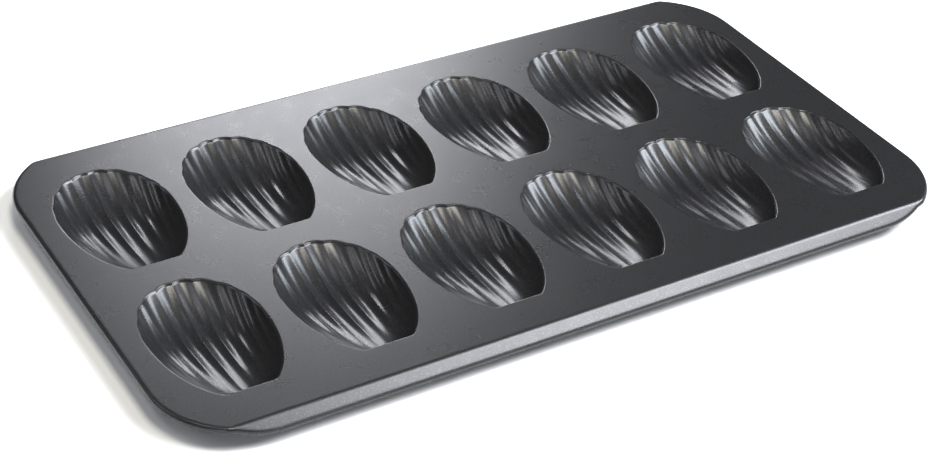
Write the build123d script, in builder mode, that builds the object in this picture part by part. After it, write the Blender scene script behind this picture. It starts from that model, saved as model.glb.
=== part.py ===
from build123d import *
import os
from math import asin, cos, hypot, pi, radians, sin, sqrt

os.makedirs("parts", exist_ok=True)

# Madeleine pan: one pressed steel sheet with twelve fluted shell cups, its long sides folded down
# and its whole edge rolled round a wire.
# Millimetres. X runs along the pan, +Y to the scalloped ends of the cups, +Z up.
# The origin is on the table under the middle of the pan, which stands on the floors of its cups.

# The sheet
sheet_thickness = 0.6
corner_radius = 42.8

# The rolled rim and the wire inside it
rim_diameter = 3.5
rim_curl = 270
rim_facets = 9
wire_facets = 6
wire_clearance = 0.1

# The folded bands along the two long sides
fold_radius = 3.0
fold_angle = 40
flange_width = 4.6

# The grid of cups, each with its flat end to the front, and the plain deck around them
columns = 6
column_gap = 11.2
row_gap = 19.2
side_margin = 13.0
front_margin = 19.4
back_margin = 20.8

# The outline of one cup, measured from its flat end
cup_width = 53.0
cup_flat_width = 22.4
cup_widest_run = 44.0
cup_back_run = 35.0

# The flutes of one cup: ridges between concave grooves that fan out from the flat end
flutes_per_side = 5
flute_start_pitch = 4.0
ridge_depth = 10.6
flute_depth = 1.5
lip_drop = 0.5

# Where the ridges reach the scalloped edge, as shares of a quarter turn from the middle to the side
cusp_angle_shares = (0.0, 0.21, 0.44, 0.65, 0.83, 1.0)
# The cup's floor stays flat to this share of its half width and then climbs to the lip
floor_share = 0.26
bowl_power = 2.5
# The middle flutes have a flat floor between these shares of their width, the others come to one line
flat_floor_shares = (0.3, 0.7)
narrow_floor_shares = (0.5,)
# No flute is deeper than this share of its own width
steepest_flute_share = 0.3
# The flutes fade by this share towards the scalloped edge
fade_share = 0.5
# Above the deck the form spreads and climbs at these shares of the run past the widest place
spread_share = 0.25
climb_share = 0.35

# Sections from the flat end to the widest place: run, depth and how far the end wall leans, as shares
front_section_shares = (
    (0.0, 0.08, 1.0),
    (0.07, 0.7, 0.9),
    (0.27, 0.84, 0.0),
    (0.6, 1.0, 0.0),
    (1.0, 1.0, 0.0),
)
# Sections from the widest place past the scalloped edge, as shares of the run to that edge
back_section_shares = (0.35, 0.69, 1.08)

# Places on a quarter of the rim, as shares of the flat arc, of the fold and of the folded arc
flat_arc_shares = (0.0, 0.34, 0.67, 1.0)
fold_shares = (0.5, 1.0)
folded_arc_shares = (0.5, 1.0)

quarter_turn = pi / 2
rim_radius = rim_diameter / 2
deck_height = ridge_depth + flute_depth + sheet_thickness

cup_half_width = cup_width / 2
cup_front_axis = cup_widest_run / sqrt(1 - (cup_flat_width / cup_width) ** 2)
column_pitch = cup_width + column_gap
row_pitch = cup_widest_run + cup_back_run + row_gap

overall_length = column_pitch * (columns - 1) + cup_width + 2 * side_margin
deck_width = front_margin + row_pitch + cup_widest_run + cup_back_run + back_margin
fold_start = deck_width / 2
fold_length = fold_radius * radians(fold_angle)
fold_end = fold_start + fold_length
front_row_start = front_margin - fold_start
back_row_start = front_row_start + row_pitch

# The sheet's edge, where it meets the rolled rim, on the flat blank before folding
edge_x = overall_length / 2 - rim_radius
edge_reach = fold_end + flange_width
edge_radius = corner_radius - rim_radius
corner_x = edge_x - edge_radius
corner_reach = edge_reach - edge_radius


def save(piece, name):
    piece.label = name
    export_step(piece, f"parts/{name}.step")
    print(name, "solids", len(piece.solids()), "volume", round(piece.volume, 1))


# The cups


def cusp(ridge):
    """The place on the scalloped edge where a ridge ends: distance from the middle, run."""
    angle = cusp_angle_shares[ridge] * quarter_turn
    return cup_half_width * sin(angle), cup_widest_run + cup_back_run * cos(angle)


def past_widest(run):
    return max(0.0, run - cup_widest_run)


def side_distance(run):
    """Half the width of the cup's mouth, an ellipse cut off square at the flat end."""
    before_widest = max(0.0, cup_widest_run - run)
    mouth = cup_half_width * sqrt(1 - (before_widest / cup_front_axis) ** 2)
    return mouth + spread_share * past_widest(run)


def ridge_distance(ridge, run):
    """Distance of a ridge from the cup's middle. Ridges run straight and crowd in at the flat end."""
    if ridge == flutes_per_side:
        return side_distance(run)
    start = flute_start_pitch * ridge
    cusp_distance, cusp_run = cusp(ridge)
    straight = start + (cusp_distance - start) * run / cusp_run
    crowded = sin(cusp_angle_shares[ridge] * quarter_turn) * side_distance(run)
    return straight if run >= cup_widest_run else min(straight, crowded)


def bowl(share):
    climb = max(0.0, share - floor_share) / (1 - floor_share)
    return 1 - climb ** bowl_power


def ridge_level(ridge, run, depth_share):
    """Height of a ridge over the deck, which is below zero inside the cup."""
    if ridge == flutes_per_side:
        level = climb_share * past_widest(run) - lip_drop * depth_share
    elif run <= cup_widest_run:
        depth = ridge_depth * bowl(ridge_distance(ridge, run) / side_distance(run))
        level = -depth_share * max(depth, lip_drop)
    else:
        depth = ridge_depth * bowl(ridge_distance(ridge, cup_widest_run) / cup_half_width)
        rise = past_widest(run) / (cusp(ridge)[1] - cup_widest_run)
        level = -depth * (1 - rise ** 2)
    return min(level, deck_height - sheet_thickness)


def flute_levels(run, depth_share):
    """Half of a cross section, from the middle ridge out to the lip, as distance and level."""
    fade = depth_share * (1 - fade_share * (past_widest(run) / cup_back_run) ** 2)
    points = []
    for ridge in range(flutes_per_side):
        inner = (ridge_distance(ridge, run), ridge_level(ridge, run, depth_share))
        outer = (ridge_distance(ridge + 1, run), ridge_level(ridge + 1, run, depth_share))
        width = outer[0] - inner[0]
        sag = min(flute_depth, steepest_flute_share * width) * fade
        floor = flat_floor_shares if ridge == 0 else narrow_floor_shares
        points.append(inner)
        for share in floor:
            points.append((inner[0] + share * width, inner[1] + share * (outer[1] - inner[1]) - sag))
    points.append((side_distance(run), ridge_level(flutes_per_side, run, depth_share)))
    return points


def mouth_section(run, depth_share, top):
    """A whole cross section from one side of the form to the other, with its sides carried up."""
    half = flute_levels(run, depth_share)
    mirrored = [(-distance, level) for distance, level in reversed(half[1:])]
    side = half[-1][0]
    return [(-side, top)] + mirrored + half + [(side, top)]


def spaced_out(points, gap):
    """The same section moved outwards by the thickness of the sheet, with mitred corners."""
    moved = [(points[0][0] - gap, points[0][1])]
    for before, here, after in zip(points, points[1:], points[2:]):
        along = (here[0] - before[0], here[1] - before[1])
        onward = (after[0] - here[0], after[1] - here[1])
        along_length = hypot(*along)
        onward_length = hypot(*onward)
        normal_x = along[1] / along_length + onward[1] / onward_length
        normal_z = -along[0] / along_length - onward[0] / onward_length
        reach = 2 * gap / (normal_x ** 2 + normal_z ** 2)
        moved.append((here[0] + normal_x * reach, here[1] + normal_z * reach))
    moved.append((points[-1][0] + gap, points[-1][1]))
    return moved


def faceted(sections):
    """A solid with flat facets through cross sections that all have the same number of points,
    each four-cornered field halved so that the left side mirrors the right."""
    faces = [Face(Wire.make_polygon(sections[0])), Face(Wire.make_polygon(sections[-1]))]
    count = len(sections[0])
    for before, after in zip(sections, sections[1:]):
        for here in range(count):
            there = (here + 1) % count
            corners = [before[here], before[there], after[there], after[here]]
            if here < count // 2:
                corners = corners[1:] + corners[:1]
            faces.append(Face(Wire.make_polygon(corners[:3])))
            faces.append(Face(Wire.make_polygon(corners[2:] + corners[:1])))
    return Solid(Shell(faces))


def cup_form(gap, top):
    """The solid form that the sheet is pressed over: gap 0 gives the inside of the cup, the sheet's
    thickness gives its outside."""
    stations = []
    for run_share, depth_share, lean in front_section_shares:
        stations.append((run_share * cup_widest_run, depth_share, lean))
    for run_share in back_section_shares:
        stations.append((cup_widest_run + run_share * cup_back_run, 1.0, 0.0))
    sections = []
    for run, depth_share, lean in stations:
        points = spaced_out(mouth_section(run, depth_share, top), gap)
        sections.append([(x, run - lean * gap, z) for x, z in points])
    return faceted(sections)


outer_form = cup_form(sheet_thickness, deck_height)
with BuildPart() as cup_shell:
    add(outer_form)
    add(cup_form(0.0, deck_height + sheet_thickness), mode=Mode.SUBTRACT)
    split(bisect_by=Plane.XY, keep=Keep.BOTTOM)

cup_places = {}
for row, row_start in (("front", front_row_start), ("back", back_row_start)):
    for column in range(columns):
        column_x = (column - (columns - 1) / 2) * column_pitch
        cup_places[f"shell_cup_{row}_{column + 1}"] = (column_x, row_start, deck_height)

for name, place in cup_places.items():
    with BuildPart() as shell_cup:
        with Locations(place):
            add(cup_shell.part)
    save(shell_cup.part, name)


# The sheet's edge and the rolled rim


def on_sheet(reach):
    """How far out and how high the top of the folded sheet lies at this reach on the flat blank,
    and how far it is tilted there."""
    past_start = max(0.0, reach - fold_start)
    tilt = min(past_start, fold_length) / fold_radius
    past_fold = max(0.0, past_start - fold_length)
    y = min(reach, fold_start) + fold_radius * sin(tilt) + past_fold * cos(tilt)
    z = deck_height - fold_radius * (1 - cos(tilt)) - past_fold * sin(tilt)
    return y, z, tilt


def edge_plane(x, reach, turn):
    """The plane across the sheet's edge: its x axis points out of the sheet, its y axis up from it."""
    y, z, tilt = on_sheet(reach)
    out = (cos(turn), sin(turn) * cos(tilt), -sin(turn) * sin(tilt))
    back_along = (sin(turn), -cos(turn) * cos(tilt), cos(turn) * sin(tilt))
    return Plane(origin=(x, y, z), x_dir=out, z_dir=back_along)


def edge_stations():
    """Planes across a quarter of the sheet's edge, from the middle of the right end to the middle
    of the back."""
    fold_turn = asin((fold_start - corner_reach) / edge_radius)
    folded_turn = asin((fold_end - corner_reach) / edge_radius)
    turns = [share * fold_turn for share in flat_arc_shares]
    turns += [fold_turn + share * (folded_turn - fold_turn) for share in fold_shares]
    turns += [folded_turn + share * (quarter_turn - folded_turn) for share in folded_arc_shares]
    stations = [edge_plane(edge_x, 0.0, 0.0)]
    for turn in turns:
        x = corner_x + edge_radius * cos(turn)
        stations.append(edge_plane(x, corner_reach + edge_radius * sin(turn), turn))
    stations.append(edge_plane(0.0, edge_reach, quarter_turn))
    return stations


stations = edge_stations()
wire_radius = rim_radius - sheet_thickness - wire_clearance
rim_turns = [radians(rim_curl) * step / rim_facets for step in range(rim_facets + 1)]


def curl_points(radius):
    """Points round the curl, from the top of the sheet outwards, down and back underneath."""
    return [(radius * sin(turn), radius * cos(turn) - rim_radius) for turn in rim_turns]


outside = curl_points(rim_radius)
inside = curl_points(rim_radius - sheet_thickness)
with BuildPart() as quarter_rim:
    for station in stations:
        with BuildSketch(station):
            with BuildLine():
                Polyline(outside + inside[::-1], close=True)
            make_face()
    loft(ruled=True)

with BuildPart() as quarter_wire:
    for station in stations:
        with BuildSketch(station):
            with Locations((0, -rim_radius)):
                RegularPolygon(wire_radius, wire_facets)
    loft(ruled=True)

# A block outside the sheet's edge all the way round, which trims the sheet to the rim
with BuildPart() as quarter_waste:
    for station in stations:
        with BuildSketch(station):
            Rectangle(edge_radius, edge_radius, align=(Align.MIN, Align.CENTER))
    loft(ruled=True)


def whole_ring(quarter):
    with BuildPart() as ring:
        add(quarter.part)
        mirror(about=Plane.XZ)
        mirror(about=Plane.YZ)
    return ring.part


rolled_rim = whole_ring(quarter_rim)
rim_wire = whole_ring(quarter_wire)
save(rolled_rim, "rolled_rim")
save(rim_wire, "rim_wire")

# The sheet itself: the flat deck with its long sides folded down, cut to the rim

flat_end_y, flat_end_z, flat_tilt = on_sheet(fold_start)
bend_end_y, bend_end_z, bend_tilt = on_sheet(fold_end)
lip_y, lip_z, lip_tilt = on_sheet(fold_end + flange_width + rim_radius)

with BuildPart() as sheet:
    with BuildSketch(Plane.YZ):
        with BuildLine():
            flat = Line((0, deck_height), (flat_end_y, flat_end_z))
            bend = TangentArc(flat @ 1, (bend_end_y, bend_end_z), tangent=flat % 1)
            Line(bend @ 1, (lip_y, lip_z))
            offset(amount=sheet_thickness, side=Side.RIGHT)
        make_face()
        mirror(about=Plane.YZ)
    extrude(amount=overall_length / 2, both=True)
    add(whole_ring(quarter_waste), mode=Mode.SUBTRACT)


def part_of_sheet(front, back):
    """The strip of the sheet between two distances from the pan's middle line."""
    with BuildPart() as strip:
        add(sheet.part)
        with BuildSketch():
            with Locations((0, (front + back) / 2)):
                Rectangle(overall_length, back - front)
        extrude(amount=deck_height, mode=Mode.INTERSECT)
    return strip.part


save(part_of_sheet(-edge_reach, -fold_start), "front_flange")
save(part_of_sheet(fold_start, edge_reach), "back_flange")

with BuildPart() as deck:
    add(part_of_sheet(-fold_start, fold_start))
    with Locations(*cup_places.values()):
        add(outer_form, mode=Mode.SUBTRACT)
save(deck.part, "deck")
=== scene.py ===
"""Madeleine pan: one pressed steel sheet with twelve fluted shell cups and a rolled, wired rim."""

import math

import bmesh
import bpy
import numpy as np
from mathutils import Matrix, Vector
from mathutils.geometry import delaunay_2d_cdt


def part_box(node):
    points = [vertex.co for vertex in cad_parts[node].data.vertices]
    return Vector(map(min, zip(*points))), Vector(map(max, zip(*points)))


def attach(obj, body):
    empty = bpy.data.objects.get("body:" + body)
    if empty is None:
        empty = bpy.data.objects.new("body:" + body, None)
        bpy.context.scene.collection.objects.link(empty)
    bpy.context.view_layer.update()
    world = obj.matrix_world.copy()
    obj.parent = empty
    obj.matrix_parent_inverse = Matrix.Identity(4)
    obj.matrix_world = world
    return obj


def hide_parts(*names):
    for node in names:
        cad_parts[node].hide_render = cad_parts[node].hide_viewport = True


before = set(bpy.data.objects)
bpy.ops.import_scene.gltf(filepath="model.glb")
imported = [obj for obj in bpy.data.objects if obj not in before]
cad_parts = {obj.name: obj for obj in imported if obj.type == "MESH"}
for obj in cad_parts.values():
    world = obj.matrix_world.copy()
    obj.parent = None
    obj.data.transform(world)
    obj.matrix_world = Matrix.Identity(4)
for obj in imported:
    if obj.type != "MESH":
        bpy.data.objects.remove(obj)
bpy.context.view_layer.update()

bl_info = {
    "name": "Madeleine Pan",
    "version": (1, 0, 0),
    "blender": (4, 5, 0),
    "location": "3D View > Sidebar > Madeleine Pan",
    "description": "Builds a coated madeleine pan round its packed model, with its studio",
    "category": "Add Mesh",
}

BODY = "root"
COAT_SLOT = "coated_sheet"
WIRE_SLOT = "rim_wire"
ROWS = ("front", "back")
COLUMNS = 6
DECK_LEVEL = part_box("deck")[1].z
FOLD_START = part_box("deck")[1].y
PAN_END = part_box("rolled_rim")[1].x


def length(name, description, default):
    return bpy.props.FloatProperty(
        name=name, description=description, default=default, unit="LENGTH", subtype="DISTANCE", precision=5
    )


def share(name, description, default):
    return bpy.props.FloatProperty(name=name, description=description, default=default, min=0.0, max=1.0)


def strength(name, description, default):
    return bpy.props.FloatProperty(name=name, description=description, default=default, min=0.0)


def colour(name, description, default):
    return bpy.props.FloatVectorProperty(
        name=name, description=description, default=default, subtype="COLOR", size=3, min=0.0, max=1.0
    )


class PanSheetSizes(bpy.types.PropertyGroup):
    thickness: length("Sheet", "Thickness of the coated sheet", 0.0006)
    fold_radius: length("Fold radius", "Radius of the fold along the two long sides", 0.003)
    fold_angle: bpy.props.FloatProperty(
        name="Fold", description="How far the long sides are folded down", default=math.radians(40),
        unit="ROTATION", subtype="ANGLE",
    )
    flange: length("Flange", "Flat width of the folded band, up to the rolled rim", 0.00456)
    corner_radius: length("Corner", "Radius of the pan's corners", 0.0428)
    rim_diameter: length("Rim", "Diameter of the rolled rim", 0.0035)
    rim_curl: bpy.props.FloatProperty(
        name="Curl", description="How far the rim is rolled round its wire", default=math.radians(270),
        unit="ROTATION", subtype="ANGLE",
    )
    wire_clearance: length("Wire gap", "Gap between the wire and the rolled rim", 0.0001)
    seam: length("Seam", "Width of flat sheet that the rim and the folds carry with them", 0.0008)


class PanCupSizes(bpy.types.PropertyGroup):
    width: length("Width", "Width of a cup's mouth where it is widest", 0.053)
    flat_width: length("Flat end", "Width of the cup's flat end", 0.0224)
    widest_run: length("Widest place", "Distance from the flat end to the widest place", 0.044)
    back_run: length("Scalloped end", "Distance from the widest place to the scalloped end", 0.0362)
    scallop: length("Scallop", "How far each scallop swells out beyond its two cusps", 0.0010)
    end_step: length("End step", "Height of the steep edge where a ridge meets the scalloped end", 0.0006)
    ridge_depth: length("Ridge depth", "Depth of the ridges under the deck", 0.0106)
    flute_depth: length("Flute depth", "Depth of the grooves under the ridges", 0.0015)
    flute_start: length("Ridge spacing", "Spacing of the middle ridges at the flat end", 0.0058)
    lip_drop: length("Lip drop", "Depth of the pressed edge at the sides of the mouth", 0.0005)
    lip_radius: length("Lip radius", "Radius of the sheet where it turns over into the cup", 0.0013)
    corner_round: length("Corner rounding", "How softly the end wall meets the floor and the sides", 0.0022)
    ridge_round: share("Ridge rounding", "Rounding of a ridge as a share of its flute", 0.07)
    margin: length("Margin", "Flat margin of deck that each cup carries with it", 0.0034)


class PanCoatFinish(bpy.types.PropertyGroup):
    tone: colour("Coat", "Dark grey of the non-stick coat", (0.016, 0.016, 0.017))
    fleck: colour("Fleck", "Paler metal flecks in the coat", (0.050, 0.050, 0.054))
    sheen_rough: share("Roughness", "Roughness of the satin coat", 0.28)
    metal: share("Metal", "How metallic the coat looks", 0.35)
    wire_tone: colour("Wire", "Bright drawn steel of the wire", (0.46, 0.46, 0.47))


class PanStudioLook(bpy.types.PropertyGroup):
    floor_tone: colour("Floor", "Pale studio floor", (0.86, 0.87, 0.87))
    world_tone: colour("Room", "Light of the room", (1.0, 1.0, 1.0))
    world_power: strength("Room light", "Strength of the room light", 0.02)


class MadeleinePanSettings(bpy.types.PropertyGroup):
    sheet: bpy.props.PointerProperty(type=PanSheetSizes)
    cup: bpy.props.PointerProperty(type=PanCupSizes)
    coat: bpy.props.PointerProperty(type=PanCoatFinish)
    studio: bpy.props.PointerProperty(type=PanStudioLook)


# Finishes

FLECK_SCALE, CLOUD_SCALE, PEEL_SCALE, WIRE_LINE_SCALE, MOTTLE_SCALE = 1500.0, 90.0, 1500.0, 1400.0, 3.0
FLECKS_BEGIN, FLECKS_FULL = 0.52, 0.78
NOISE_LOW, NOISE_HIGH = 0.3, 0.7
CLOUD_ROUGHNESS = 0.01
PEEL_STRENGTH, PEEL_HEIGHT = 0.1, 0.00001
COAT_GLOSS = 0.5
WIRE_ROUGHNESS = (0.28, 0.45)
WIRE_SHADE, MOTTLE_SHADE = 0.7, 0.99
FLOOR_ROUGHNESS, FLOOR_GLOSS = 0.9, 0.1


def add_node(tree, kind, place=(0, 0), **values):
    made = tree.nodes.new(kind)
    made.location = place
    for name, value in values.items():
        setattr(made, name, value)
    return made


def fresh_material(name):
    """A new material, its nodes, its shader and the place on the piece."""
    material = bpy.data.materials.new(name)
    material.use_nodes = True
    tree = material.node_tree
    tree.nodes.clear()
    output = add_node(tree, "ShaderNodeOutputMaterial", (600, 0))
    shader = add_node(tree, "ShaderNodeBsdfPrincipled", (300, 0))
    tree.links.new(shader.outputs["BSDF"], output.inputs["Surface"])
    place = add_node(tree, "ShaderNodeTexCoord", (-900, 0))
    return material, tree, shader, place.outputs["Object"]


def noise(tree, place, scale, detail, rough=0.5):
    made = add_node(tree, "ShaderNodeTexNoise", (-600, 0))
    made.inputs["Scale"].default_value = scale
    made.inputs["Detail"].default_value = detail
    made.inputs["Roughness"].default_value = rough
    tree.links.new(place, made.inputs["Vector"])
    return made.outputs["Fac"]


def spread(tree, value, low, high, to_low, to_high):
    """A value carried from one range to another."""
    made = add_node(tree, "ShaderNodeMapRange", (-350, 0))
    for name, number in (("From Min", low), ("From Max", high), ("To Min", to_low), ("To Max", to_high)):
        made.inputs[name].default_value = number
    tree.links.new(value, made.inputs["Value"])
    return made.outputs["Result"]


def two_tones(tree, value, dark, pale):
    made = add_node(tree, "ShaderNodeMix", (-100, 200), data_type="RGBA")
    made.inputs["A"].default_value = (*dark, 1.0)
    made.inputs["B"].default_value = (*pale, 1.0)
    tree.links.new(value, made.inputs["Factor"])
    return made.outputs["Result"]


def coat_material():
    """Satin non-stick coat: near black with fine metal flecks and a faint orange peel."""
    found = bpy.data.materials.get("non_stick_coat")
    if found:
        return found
    finish = bpy.context.scene.madeleine_pan.coat
    material, tree, shader, place = fresh_material("non_stick_coat")
    shader.inputs["Metallic"].default_value = finish.metal
    shader.inputs["Specular IOR Level"].default_value = COAT_GLOSS
    specks = noise(tree, place, FLECK_SCALE, detail=2.0, rough=0.6)
    flecks = spread(tree, specks, FLECKS_BEGIN, FLECKS_FULL, 0.0, 1.0)
    tone = two_tones(tree, flecks, finish.tone, finish.fleck)
    tree.links.new(tone, shader.inputs["Base Color"])
    clouds = noise(tree, place, CLOUD_SCALE, detail=3.0)
    smooth, dull = finish.sheen_rough - CLOUD_ROUGHNESS, finish.sheen_rough + CLOUD_ROUGHNESS
    rough = spread(tree, clouds, NOISE_LOW, NOISE_HIGH, smooth, dull)
    tree.links.new(rough, shader.inputs["Roughness"])
    peel = noise(tree, place, PEEL_SCALE, detail=2.0)
    bump = add_node(tree, "ShaderNodeBump", (50, -300))
    bump.inputs["Strength"].default_value = PEEL_STRENGTH
    bump.inputs["Distance"].default_value = PEEL_HEIGHT
    tree.links.new(peel, bump.inputs["Height"])
    tree.links.new(bump.outputs["Normal"], shader.inputs["Normal"])
    return material


def wire_material():
    """Drawn steel wire with fine lines and a little dullness."""
    finish = bpy.context.scene.madeleine_pan.coat
    material, tree, shader, place = fresh_material("drawn_wire")
    shader.inputs["Metallic"].default_value = 1.0
    grey = finish.wire_tone
    lines = noise(tree, place, WIRE_LINE_SCALE, detail=3.0)
    bright = spread(tree, lines, NOISE_LOW, NOISE_HIGH, 0.0, 1.0)
    tone = two_tones(tree, bright, [WIRE_SHADE * part for part in grey], grey)
    tree.links.new(tone, shader.inputs["Base Color"])
    rough = spread(tree, lines, NOISE_LOW, NOISE_HIGH, *WIRE_ROUGHNESS)
    tree.links.new(rough, shader.inputs["Roughness"])
    return material


def floor_material():
    """Plain pale floor with a barely visible mottle."""
    look = bpy.context.scene.madeleine_pan.studio
    material, tree, shader, place = fresh_material("pale_floor")
    shader.inputs["Roughness"].default_value = FLOOR_ROUGHNESS
    shader.inputs["Specular IOR Level"].default_value = FLOOR_GLOSS
    mottle = noise(tree, place, MOTTLE_SCALE, detail=2.0)
    tone = two_tones(tree, mottle, [MOTTLE_SHADE * part for part in look.floor_tone], look.floor_tone)
    tree.links.new(tone, shader.inputs["Base Color"])
    return material


# Meshes

CRISP_EDGE = math.radians(50)


def make_piece(name, points, faces, material, slot, *nodes):
    """A solid piece with smooth faces and crisp cut edges that rides on the pan and stands for its nodes."""
    mesh = bpy.data.meshes.new(name)
    mesh.from_pydata([tuple(point) for point in points], [], [tuple(face) for face in faces])
    mesh.validate()
    form = bmesh.new()
    form.from_mesh(mesh)
    bmesh.ops.recalc_face_normals(form, faces=form.faces)
    for face in form.faces:
        face.smooth = True
    for edge in form.edges:
        if len(edge.link_faces) != 2 or edge.calc_face_angle() > CRISP_EDGE:
            edge.smooth = False
    form.to_mesh(mesh)
    form.free()
    mesh.materials.append(material)
    piece = bpy.data.objects.new(name, mesh)
    bpy.context.scene.collection.objects.link(piece)
    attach(piece, BODY)
    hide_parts(*nodes)
    return piece


def thick_sheet(top, bottom, faces):
    """Points and faces of a sheet closed along all its open edges."""
    count = len(top)
    sides = {}
    for face in faces:
        for here, there in zip(face, face[1:] + face[:1]):
            sides[(here, there)] = True
    walls = [
        (there, here, here + count, there + count)
        for here, there in sides if (there, here) not in sides
    ]
    under = [tuple(corner + count for corner in reversed(face)) for face in faces]
    return np.vstack([top, bottom]), list(faces) + under + walls


def grid_faces(rows, columns, start=0, closed=False):
    """Four-cornered faces between rows of points, each row closed into a loop if so asked."""
    faces = []
    for row in range(rows - 1):
        for column in range(columns if closed else columns - 1):
            here = start + row * columns + column
            there = start + row * columns + (column + 1) % columns
            faces.append((here, there, there + columns, here + columns))
    return faces


def soft_min(one, other, size):
    """The lower of two heights, rounded over where they come within this size of each other."""
    near = np.maximum(size - np.abs(one - other), 0.0) / size
    return np.minimum(one, other) - near * near * size / 4


def soft_max(one, other, size):
    """The higher of two heights, rounded in the same way."""
    return -soft_min(-one, -other, size)


# The shell cups

CUSP_ANGLE_SHARES = (0.0, 0.21, 0.44, 0.65, 0.83, 1.0)
FLUTES = len(CUSP_ANGLE_SHARES) - 1
# One value for each ridge or flute, from the cup's middle line outwards
RIDGE_STARTS = (0.0, 1.0, 1.86, 2.5, 2.93)
SCALLOP_SHARES = (1.0, 1.0, 0.85, 0.45, 0.12)
FLUTE_SHARES = (1.0, 1.0, 0.9, 0.6, 0.35)
FLAT_END_FLUTE_SHARES = (0.27, 0.20, 0.10, 0.08, 0.08)
# The bowl across the cup, and how the flutes grow along it
FLOOR_SHARE, FLAT_END_FLOOR_SHARE = 0.26, 0.06
BOWL_POWER, FLAT_END_BOWL_POWER = 2.5, 2.0
STEEPEST_FLUTE = 0.3
FLUTE_GROWTH_RUNS = (0.012, 0.052)
FADE_SHARE = 0.4
FLOOR_RISE = 0.35
SPREAD_SHARE = 0.25
END_WALL_SLOPE = math.tan(math.radians(72))
SIDE_WALL_SLOPE = 1.35
SCALLOP_WALL_SLOPE = 2.2
SCALLOP_FILLET = 0.0009
SCALLOP_LIP_SHARE = 0.45
RIDGE_MEETING = 0.0004
SIDE_FILLET = 0.00005
LEAST_LIP = 0.00012
STEEPEST_UNDERSIDE = 2.2
SLOPE_STEP = 0.00005
# How finely the cup is divided
FLUTE_COLUMNS = 8
CUP_ROWS = 64
ROW_CROWDING = 0.8
MARGIN_RINGS = 13
MARGIN_CROWDING = 1.2
MARGIN_MIDDLE_RUN = 0.036
HALVINGS = 40
# These keep a root and the divisions away from zero
MOST_BEFORE_SHARE = 0.999
LEAST_SIZE, LEAST_SQUARE = 1e-6, 1e-9


def side_distance(cup, run):
    """Half the mouth's width at each distance from the flat end."""
    half = cup.width / 2
    axis = cup.widest_run / math.sqrt(1 - (cup.flat_width / cup.width) ** 2)
    before = np.clip(cup.widest_run - run, 0.0, MOST_BEFORE_SHARE * axis)
    return half * np.sqrt(1 - (before / axis) ** 2) + SPREAD_SHARE * np.maximum(0.0, run - cup.widest_run)


def cusp(cup, angle_share):
    """Place of a cusp of the scalloped end, across and along the cup."""
    angle = angle_share * math.pi / 2
    return cup.width / 2 * np.sin(angle), cup.widest_run + cup.back_run * np.cos(angle)


def ridge_distance(cup, ridge, run):
    """Distance of a ridge from the cup's middle line."""
    side = side_distance(cup, run)
    if ridge >= FLUTES:
        return side
    start = cup.flute_start * RIDGE_STARTS[ridge]
    angle_share = CUSP_ANGLE_SHARES[ridge]
    across, along = cusp(cup, angle_share)
    straight = start + (across - start) * run / along
    crowded = math.sin(angle_share * math.pi / 2) * side
    return np.where(run >= cup.widest_run, straight, soft_min(straight, crowded, RIDGE_MEETING))


def bowl(part, rounder=0.0):
    """Depth share of the bowl across a cup, with a rounder bowl towards the flat end."""
    level = FLOOR_SHARE + (FLAT_END_FLOOR_SHARE - FLOOR_SHARE) * rounder
    power = BOWL_POWER + (FLAT_END_BOWL_POWER - BOWL_POWER) * rounder
    return 1 - (np.maximum(0.0, part - level) / (1 - level)) ** power


def backward(cup, x, run):
    """Share of the scalloped end in a place: none on the widest line, all of it on the middle line."""
    across = np.abs(x) / (cup.width / 2)
    along = np.maximum(0.0, run - cup.widest_run) / cup.back_run
    return along ** 2 / np.maximum(across ** 2 + along ** 2, LEAST_SQUARE)


def ridge_level(cup, x, run):
    """Height over the deck of the bowl that the ridges lie in."""
    before = np.maximum(0.0, cup.widest_run - run) / cup.widest_run
    deep = cup.ridge_depth * (1 - FLOOR_RISE * before ** 2) - cup.lip_drop
    flat_half = -deep * bowl(np.abs(x) / side_distance(cup, run), before) - cup.lip_drop
    across = np.abs(x) / (cup.width / 2)
    along = np.maximum(0.0, run - cup.widest_run) / cup.back_run
    back = backward(cup, x, run)
    radius = np.hypot(across, along)
    drop = cup.lip_drop + (cup.end_step - cup.lip_drop) * back
    round_half = -(cup.ridge_depth - drop) * (back * (1 - radius ** 2) + (1 - back) * bowl(radius)) - drop
    return np.where(run <= cup.widest_run, flat_half, round_half)


def scallop_distance(cup, x, run):
    """Distance to the scalloped outline of the round end, above zero inside it."""
    half = cup.width / 2 + cup.lip_drop / SIDE_WALL_SLOPE
    across = np.abs(x) / half
    along = np.maximum(0.0, run - cup.widest_run) / cup.back_run
    radius = np.maximum(np.hypot(across, along), LEAST_SIZE)
    turn = np.arctan2(across, along) / (math.pi / 2)
    flute = np.clip(np.searchsorted(CUSP_ANGLE_SHARES, turn, side="right") - 1, 0, FLUTES - 1)
    cusps = np.array(CUSP_ANGLE_SHARES)
    part = (turn - cusps[flute]) / (cusps[flute + 1] - cusps[flute])
    swell = cup.scallop * np.array(SCALLOP_SHARES)[flute] * 4 * part * (1 - part)
    steepness = np.hypot(across / half, along / cup.back_run) / radius
    return (1 - radius) / np.maximum(steepness, LEAST_SIZE) + swell


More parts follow.
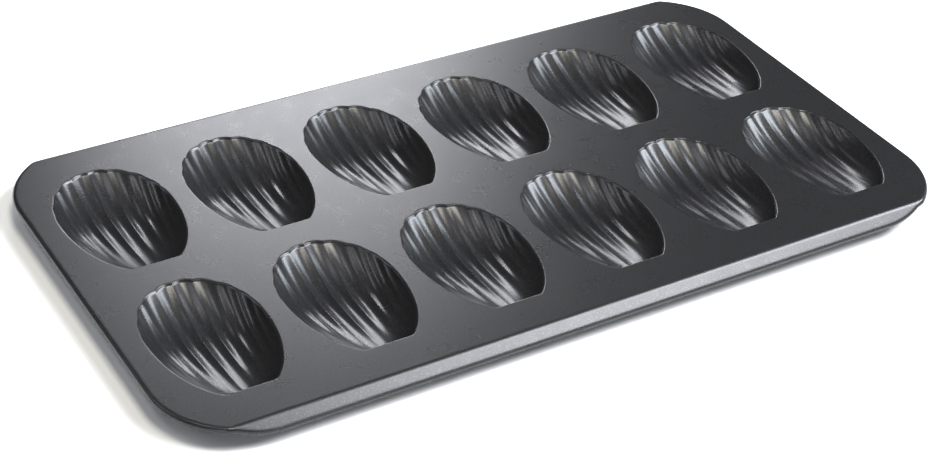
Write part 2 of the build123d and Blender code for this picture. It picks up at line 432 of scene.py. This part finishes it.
def cup_form(cup, x, run):
    """Height of the cup's form over the deck, carried on above the deck, before its lip is rounded."""
    across = np.abs(x)
    past = np.maximum(0.0, run - cup.widest_run)
    fade = 1 - FADE_SHARE * np.minimum(1.0, past / cup.back_run) ** 2
    first, last = FLUTE_GROWTH_RUNS
    grown = np.clip((run - first) / (last - first), 0.0, 1.0)
    grown = grown * grown * (3 - 2 * grown)
    side = side_distance(cup, run)
    level = SIDE_WALL_SLOPE * (across - side) - cup.lip_drop
    for ridge in range(FLUTES):
        inner = ridge_distance(cup, ridge, run)
        outer = ridge_distance(cup, ridge + 1, run)
        width = np.maximum(outer - inner, LEAST_SIZE)
        part = np.clip((across - inner) / width, 0.0, 1.0)
        base = (1 - part) * ridge_level(cup, inner, run) + part * ridge_level(cup, outer, run)
        edge = np.minimum(part, 1 - part)
        soft = np.sqrt(edge ** 2 + cup.ridge_round ** 2) - cup.ridge_round
        deepest = math.sqrt(0.25 + cup.ridge_round ** 2) - cup.ridge_round
        groove = soft * (1 - soft) / (deepest * (1 - deepest))
        shallow, full = FLAT_END_FLUTE_SHARES[ridge], FLUTE_SHARES[ridge]
        depth_share = fade * (shallow + (full - shallow) * grown)
        sag = np.minimum(cup.flute_depth, STEEPEST_FLUTE * width) * depth_share
        level = np.where((across >= inner) & (across < outer), base - groove * sag, level)
    back = backward(cup, x, run)
    slope = SIDE_WALL_SLOPE + (SCALLOP_WALL_SLOPE - SIDE_WALL_SLOPE) * back
    wall = -slope * scallop_distance(cup, x, run)
    round_half = soft_max(level, wall, SIDE_FILLET + SCALLOP_FILLET * back)
    level = np.where(run > cup.widest_run, round_half, level)
    return soft_max(level, -END_WALL_SLOPE * run, cup.corner_round)


def form_slope(cup, x, run, level_of):
    """Steepness of a form at each place."""
    across = level_of(cup, x + SLOPE_STEP, run) - level_of(cup, x - SLOPE_STEP, run)
    along = level_of(cup, x, run + SLOPE_STEP) - level_of(cup, x, run - SLOPE_STEP)
    return np.hypot(across, along) / (2 * SLOPE_STEP)


def cup_level(cup, x, run):
    """Height of the pressed sheet over the deck at any place in or round the cup."""
    form = cup_form(cup, x, run)
    steep = form_slope(cup, x, run, cup_form)
    radius = cup.lip_radius * (1 - (1 - SCALLOP_LIP_SHARE) * backward(cup, x, run))
    size = np.maximum(radius * steep ** 2 / (1 + np.sqrt(1 + steep ** 2)), LEAST_LIP)
    return soft_min(form, np.zeros_like(form), size)


def cup_plan():
    """Plan of one cup's mesh: places across and along the cup, faces, and the loop round its margin."""
    cup = bpy.context.scene.madeleine_pan.cup
    step = np.linspace(0, math.pi, FLUTE_COLUMNS + 1)[:-1]
    in_flute = (1 - np.cos(step)) / 2
    half = np.concatenate([ridge + in_flute for ridge in range(FLUTES)] + [[float(FLUTES)]])
    places = np.concatenate([-half[:0:-1], half])
    turn = np.linspace(0, 1, CUP_ROWS + 1)
    along = turn - ROW_CROWDING / (2 * math.pi) * np.sin(2 * math.pi * turn)

    def column(place, run):
        """Distance from the middle line of a place between two ridges."""
        ridge = min(int(abs(place)), FLUTES - 1)
        part = abs(place) - ridge
        inner = ridge_distance(cup, ridge, run)
        return inner + part * (ridge_distance(cup, ridge + 1, run) - inner)

    plan = []
    for place in places:
        low, end = cup.widest_run, cup.widest_run + cup.back_run + 2 * cup.scallop
        for _ in range(HALVINGS):
            middle = (low + end) / 2
            found = scallop_distance(cup, column(place, np.array([middle])), np.array([middle]))[0]
            low, end = (middle, end) if found > 0 else (low, middle)
        run = end * along
        plan.append(np.column_stack([np.sign(place) * column(place, run), run]))
    plan = np.array(plan)
    columns, rows = plan.shape[:2]
    index = np.arange(columns * rows).reshape(columns, rows)
    outline = np.concatenate([index[:-1, 0], index[-1, :-1], index[:0:-1, -1], index[0, :0:-1]])
    points = [plan.reshape(-1, 2)]
    faces = grid_faces(columns, rows)
    edge = points[0][outline]
    middle = np.array([0.0, MARGIN_MIDDLE_RUN])
    reach = edge - middle
    distance = np.linalg.norm(reach, axis=1, keepdims=True)
    count = columns * rows
    before = list(outline)
    for ring in range(1, MARGIN_RINGS + 1):
        gap = cup.margin * (ring / MARGIN_RINGS) ** MARGIN_CROWDING
        points.append(middle + reach * (1 + gap / distance))
        here = list(range(count, count + len(outline)))
        count += len(outline)
        for side in range(len(outline)):
            after = (side + 1) % len(outline)
            faces.append((before[side], here[side], here[after], before[after]))
        before = here
    return np.vstack(points), faces, before


def cup_place(row, column):
    """Where a cup's flat end has its middle."""
    low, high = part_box(f"shell_cup_{row}_{column + 1}")
    return (low.x + high.x) / 2, low.y + bpy.context.scene.madeleine_pan.sheet.thickness


def sheet_under(level, x, run, thickness):
    """Underside of the pressed sheet, a sheet's thickness away at right angles to its slope."""
    steep = form_slope(bpy.context.scene.madeleine_pan.cup, x, run, cup_level)
    return level - thickness * np.minimum(np.sqrt(1 + steep ** 2), STEEPEST_UNDERSIDE)


class BuildShellCups(bpy.types.Operator):
    """Press the twelve fluted shell cups"""

    bl_idname = "madeleine_pan.shell_cups"
    bl_label = "Shell Cups"

    def execute(self, context):
        settings = context.scene.madeleine_pan
        cup, thickness = settings.cup, settings.sheet.thickness
        plan, faces, margin = cup_plan()
        x, run = plan[:, 0], plan[:, 1]
        level = cup_level(cup, x, run)
        level *= (thickness - DECK_LEVEL) / level.min()
        level[margin] = 0.0
        under = sheet_under(level, x, run, thickness)
        under[margin] = -thickness
        under = np.maximum(under, -DECK_LEVEL)
        for row in ROWS:
            for column in range(COLUMNS):
                place_x, place_y = cup_place(row, column)
                top = np.column_stack([x + place_x, run + place_y, level + DECK_LEVEL])
                bottom = np.column_stack([x + place_x, run + place_y, under + DECK_LEVEL])
                points, all_faces = thick_sheet(top, bottom, faces)
                name = f"shell_cup_{row}_{column + 1}"
                make_piece("pressed_" + name, points, all_faces, coat_material(), COAT_SLOT, name)
        return {"FINISHED"}


# The sheet's edge

ARC_STEPS = 30
FOLD_STEPS = 8
LONG_STEPS = 24
CURL_STEPS = 27
WIRE_SIDES = 20
SAME_TURN, SAME_POINT = 1e-9, 1e-7
INSIDE_OUTLINE = 1


def on_sheet(reach):
    """How far out and how high the top of the folded sheet lies at this reach, and its tilt there."""
    sheet = bpy.context.scene.madeleine_pan.sheet
    bend = sheet.fold_radius * sheet.fold_angle
    past = np.maximum(0.0, reach - FOLD_START)
    tilt = np.minimum(past, bend) / sheet.fold_radius
    beyond = np.maximum(0.0, past - bend)
    out = np.minimum(reach, FOLD_START) + sheet.fold_radius * np.sin(tilt) + beyond * np.cos(tilt)
    up = DECK_LEVEL - sheet.fold_radius * (1 - np.cos(tilt)) - beyond * np.sin(tilt)
    return out, up, tilt


def edge_measures():
    """Middle of the corner arcs, across and in reach along the sheet, and the curl's own radius there."""
    sheet = bpy.context.scene.madeleine_pan.sheet
    rim = sheet.rim_diameter / 2
    radius = sheet.corner_radius - rim
    reach = FOLD_START + sheet.fold_radius * sheet.fold_angle + sheet.flange
    return PAN_END - rim - radius, reach - radius, radius


def quarter_turns():
    """Turns round a corner, closer together where the sheet is folded."""
    sheet = bpy.context.scene.madeleine_pan.sheet
    _, corner_reach, radius = edge_measures()
    inner = radius - sheet.seam
    bend = sheet.fold_radius * sheet.fold_angle
    first = math.asin((FOLD_START - sheet.seam - corner_reach) / inner)
    end = math.asin((FOLD_START + bend - corner_reach) / inner)
    turns = list(np.linspace(0, first, ARC_STEPS // 2, endpoint=False))
    turns += list(np.linspace(first, end, FOLD_STEPS + 2))
    turns += list(np.linspace(end, math.pi / 2, ARC_STEPS // 2 + 1))[1:]
    return turns, first


def edge_stations():
    """Places round the whole edge: middle x, the side of the pan and the turn round the corner."""
    corner_x, _, _ = edge_measures()
    turns, _ = quarter_turns()
    falling = turns[::-1]
    quarters = ((1, 1, turns, True), (-1, 1, falling, False), (-1, -1, turns, True), (1, -1, falling, False))
    stations = []
    for side_x, side_y, quarter, long_side_follows in quarters:
        stations += [(side_x * corner_x, side_y, turn) for turn in quarter]
        if long_side_follows:
            for step in range(1, LONG_STEPS):
                share_along = 1 - 2 * step / LONG_STEPS
                stations.append((side_x * share_along * corner_x, side_y, math.pi / 2))
    return stations


def edge_point(station, inward, down):
    """A point of the sheet inwards of where the curl starts, down from the sheet's top."""
    x, side_y, turn = station
    _, corner_reach, radius = edge_measures()
    side_x = -1.0 if x < 0 else 1.0
    y, z, tilt = on_sheet(corner_reach + (radius - inward) * math.sin(turn))
    px = abs(x) + (radius - inward) * math.cos(turn)
    return side_x * px, side_y * (y - down * math.sin(tilt)), z - down * math.cos(tilt)


def curl_point(station, out, down):
    """A point of the curl, out from where it starts (below zero back under the sheet) and down."""
    x, side_y, turn = station
    _, corner_reach, radius = edge_measures()
    side_x = -1.0 if x < 0 else 1.0
    y, z, tilt = on_sheet(corner_reach + radius * math.sin(turn))
    px = abs(x) + (radius + out) * math.cos(turn)
    py = y + out * math.sin(turn) * math.cos(tilt) - down * math.sin(tilt)
    pz = z - out * math.sin(turn) * math.sin(tilt) - down * math.cos(tilt)
    return side_x * px, side_y * py, pz


class BuildRolledRim(bpy.types.Operator):
    """Roll the sheet's edge outwards and under all the way round"""

    bl_idname = "madeleine_pan.rolled_rim"
    bl_label = "Rolled Rim"

    def execute(self, context):
        sheet = context.scene.madeleine_pan.sheet
        rim = sheet.rim_diameter / 2
        turns = np.linspace(0, sheet.rim_curl, CURL_STEPS + 1)
        loops = []
        for station in edge_stations():
            loop = [edge_point(station, sheet.seam, 0.0)]
            for radius, way in ((rim, turns), (rim - sheet.thickness, turns[::-1])):
                for turn in way:
                    loop.append(curl_point(station, radius * math.sin(turn), rim - radius * math.cos(turn)))
            loop.append(edge_point(station, sheet.seam, sheet.thickness))
            loops.append(loop)
        loops.append(loops[0])
        count = len(loops[0])
        faces = grid_faces(len(loops), count, closed=True)
        total = (len(loops) - 1) * count
        faces = [tuple(corner % total for corner in face) for face in faces]
        points = [point for loop in loops[:-1] for point in loop]
        make_piece("coated_rolled_rim", points, faces, coat_material(), COAT_SLOT, "rolled_rim")
        return {"FINISHED"}


class BuildRimWire(bpy.types.Operator):
    """Lay the round wire inside the rolled rim"""

    bl_idname = "madeleine_pan.rim_wire"
    bl_label = "Rim Wire"

    def execute(self, context):
        sheet = context.scene.madeleine_pan.sheet
        rim = sheet.rim_diameter / 2
        radius = rim - sheet.thickness - sheet.wire_clearance
        turns = np.linspace(0, 2 * math.pi, WIRE_SIDES, endpoint=False)
        points = []
        stations = edge_stations()
        for station in stations:
            for turn in turns:
                points.append(curl_point(station, radius * math.sin(turn), rim - radius * math.cos(turn)))
        faces = grid_faces(len(stations) + 1, WIRE_SIDES, closed=True)
        faces = [tuple(corner % len(points) for corner in face) for face in faces]
        make_piece("steel_rim_wire", points, faces, wire_material(), WIRE_SLOT, "rim_wire")
        return {"FINISHED"}


class BuildFlanges(bpy.types.Operator):
    """Fold down the bands along the two long sides"""

    bl_idname = "madeleine_pan.flanges"
    bl_label = "Folded Flanges"

    def execute(self, context):
        sheet = context.scene.madeleine_pan.sheet
        corner_x, corner_reach, radius = edge_measures()
        inner = radius - sheet.seam
        turns, first = quarter_turns()
        turns = [turn for turn in turns if turn >= first - SAME_TURN]
        across = np.linspace(-1, 1, LONG_STEPS + 1)
        for side_y, name in ((-1, "front_flange"), (1, "back_flange")):
            top, bottom = [], []
            for turn in turns:
                y, z, tilt = on_sheet(corner_reach + inner * math.sin(turn))
                reach_x = corner_x + inner * math.cos(turn)
                for part in across:
                    top.append((part * reach_x, side_y * y, z))
                    under_y = y - sheet.thickness * math.sin(tilt)
                    bottom.append((part * reach_x, side_y * under_y, z - sheet.thickness * math.cos(tilt)))
            faces = grid_faces(len(turns), len(across))
            points, faces = thick_sheet(np.array(top), np.array(bottom), faces)
            make_piece("folded_" + name, points, faces, coat_material(), COAT_SLOT, name)
        return {"FINISHED"}


def inside(points, loop):
    """Which points lie inside a closed loop."""
    found = np.zeros(len(points), bool)
    for here, there in zip(loop, np.roll(loop, -1, axis=0)):
        if here[1] == there[1]:
            continue
        level = (here[1] > points[:, 1]) != (there[1] > points[:, 1])
        cross = here[0] + (points[:, 1] - here[1]) * (there[0] - here[0]) / (there[1] - here[1])
        found ^= level & (points[:, 0] < cross)
    return found


class BuildDeck(bpy.types.Operator):
    """Cut the flat deck with the mouths of its cups"""

    bl_idname = "madeleine_pan.deck"
    bl_label = "Deck"

    def execute(self, context):
        sheet = context.scene.madeleine_pan.sheet
        corner_x, corner_reach, radius = edge_measures()
        inner = radius - sheet.seam
        turns, first = quarter_turns()
        turns = [turn for turn in turns if turn <= first + SAME_TURN]
        quarter = [
            (corner_x + inner * math.cos(turn), corner_reach + inner * math.sin(turn)) for turn in turns
        ]
        outline = list(quarter)
        outline += [(-x, y) for x, y in reversed(quarter)]
        outline += [(-x, -y) for x, y in quarter]
        outline += [(x, -y) for x, y in reversed(quarter)]
        plan, _, margin = cup_plan()
        loops = [outline]
        for row in ROWS:
            for column in range(COLUMNS):
                place = np.array(cup_place(row, column))
                loops.append([tuple(point) for point in (plan[margin] + place)[::-1]])
        points, edges = [], []
        for loop in loops:
            start = len(points)
            points += [Vector(point) for point in loop]
            edges += [(start + here, start + (here + 1) % len(loop)) for here in range(len(loop))]
        flat, _, faces, _, _, _ = delaunay_2d_cdt(points, edges, [], INSIDE_OUTLINE, SAME_POINT)
        flat = np.array([tuple(point) for point in flat])
        middles = flat[np.array([tuple(face) for face in faces])].mean(axis=1)
        solid = np.ones(len(faces), bool)
        for mouth in loops[1:]:
            solid &= ~inside(middles, np.array(mouth))
        faces = [tuple(face) for face, kept in zip(faces, solid) if kept]
        top = np.column_stack([flat, np.full(len(flat), DECK_LEVEL)])
        bottom = top - np.array([0.0, 0.0, sheet.thickness])
        points, faces = thick_sheet(top, bottom, faces)
        make_piece("flat_deck", points, faces, coat_material(), COAT_SLOT, "deck")
        return {"FINISHED"}


# The studio

FLOOR_REACH = 4.0
FLOOR_PARTS = 8
BOX_DISTANCE = 2.5
CAMERA_PLACE = (-0.43409, -0.69281, 0.54912)
CAMERA_TURNS = (55.3113, -2.1508, -30.2426)
CAMERA_LENS, CAMERA_SENSOR, CAMERA_NEAR = 79.9503, 36.0, 0.01
COOL, WARM, PLAIN = (0.86, 0.93, 1.0), (1.0, 0.96, 0.86), (0.94, 0.95, 1.0)
# Each box: name, turn from the back towards the right and height in degrees, size, power, tone
SOFT_BOXES = (
    ("right_cool", 95, 41, (1.10, 0.86), 66.0, COOL),
    ("front_right_key", 128, 49, (1.35, 0.85), 86.0, PLAIN),
    ("top_warm", 175, 76, (0.75, 0.55), 36.0, WARM),
    ("left_high", -80, 65, (0.77, 0.61), 8.0, PLAIN),
    ("left_side", -60, 34, (1.50, 0.35), 9.0, PLAIN),
    ("back_sheen", 23, 30, (0.56, 0.36), 11.5, PLAIN),
    ("back_low", 28, 18, (0.50, 0.30), 6.0, PLAIN),
    ("front_low", 155, 22, (1.10, 0.50), 12.0, PLAIN),
    ("front_left_low", -135, 15, (1.29, 0.62), 12.0, PLAIN),
)


def aim(thing, target):
    """Turn a lamp to face a place."""
    thing.rotation_mode = "QUATERNION"
    thing.rotation_quaternion = (Vector(target) - thing.location).to_track_quat("-Z", "Y")


def softbox(name, place, size, power, tone):
    """A soft rectangular lamp that faces the middle of the pan."""
    light = bpy.data.lights.new(name, "AREA")
    light.shape = "RECTANGLE"
    light.size, light.size_y = size
    light.energy = power
    light.color = tone
    lamp = bpy.data.objects.new(name, light)
    lamp.location = place
    bpy.context.scene.collection.objects.link(lamp)
    aim(lamp, (0.0, 0.0, 0.0))


class BuildStudio(bpy.types.Operator):
    """Set up the pale floor, the soft lights and the camera"""

    bl_idname = "madeleine_pan.studio"
    bl_label = "Studio"

    def execute(self, context):
        look = context.scene.madeleine_pan.studio
        scene = context.scene
        scene.view_settings.view_transform = "Standard"
        form = bmesh.new()
        parts = {"x_segments": FLOOR_PARTS, "y_segments": FLOOR_PARTS}
        bmesh.ops.create_grid(form, size=FLOOR_REACH, **parts)
        mesh = bpy.data.meshes.new("studio_floor")
        form.to_mesh(mesh)
        form.free()
        mesh.materials.append(floor_material())
        floor = bpy.data.objects.new("studio_floor", mesh)
        scene.collection.objects.link(floor)

        world = bpy.data.worlds.new("studio_room")
        world.use_nodes = True
        shade = world.node_tree.nodes["Background"]
        shade.inputs["Color"].default_value = (*look.world_tone, 1.0)
        shade.inputs["Strength"].default_value = look.world_power
        scene.world = world

        for name, azimuth, height, size, power, tone in SOFT_BOXES:
            turn, lift = math.radians(azimuth), math.radians(height)
            place = (
                BOX_DISTANCE * math.sin(turn) * math.cos(lift),
                BOX_DISTANCE * math.cos(turn) * math.cos(lift),
                BOX_DISTANCE * math.sin(lift),
            )
            softbox(name, place, size, power, tone)

        lens = bpy.data.cameras.new("photo_camera")
        lens.sensor_width = CAMERA_SENSOR
        lens.lens = CAMERA_LENS
        lens.clip_start = CAMERA_NEAR
        camera = bpy.data.objects.new("photo_camera", lens)
        camera.location = CAMERA_PLACE
        camera.rotation_euler = [math.radians(turn) for turn in CAMERA_TURNS]
        scene.collection.objects.link(camera)
        scene.camera = camera
        return {"FINISHED"}


class MADELEINE_PAN_PT_builder(bpy.types.Panel):
    """Steps that build the pan and its studio"""

    bl_label = "Madeleine Pan"
    bl_idname = "MADELEINE_PAN_PT_builder"
    bl_space_type = "VIEW_3D"
    bl_region_type = "UI"
    bl_category = "Madeleine Pan"

    def draw(self, context):
        settings = context.scene.madeleine_pan
        for group in (settings.sheet, settings.cup, settings.coat, settings.studio):
            column = self.layout.column(align=True)
            for name in group.bl_rna.properties.keys():
                if name not in {"rna_type", "name"}:
                    column.prop(group, name)
        for operator in OPERATORS:
            self.layout.operator(operator.bl_idname)


OPERATORS = (BuildDeck, BuildShellCups, BuildFlanges, BuildRolledRim, BuildRimWire, BuildStudio)
CLASSES = (
    PanSheetSizes, PanCupSizes, PanCoatFinish, PanStudioLook, MadeleinePanSettings,
    *OPERATORS, MADELEINE_PAN_PT_builder,
)


def register():
    for made in CLASSES:
        bpy.utils.register_class(made)
    bpy.types.Scene.madeleine_pan = bpy.props.PointerProperty(type=MadeleinePanSettings)


def unregister():
    del bpy.types.Scene.madeleine_pan
    for made in reversed(CLASSES):
        bpy.utils.unregister_class(made)


def main():
    register()
    for operator in OPERATORS:
        group, name = operator.bl_idname.split(".")
        getattr(getattr(bpy.ops, group), name)()


if __name__ == "__main__":
    main()
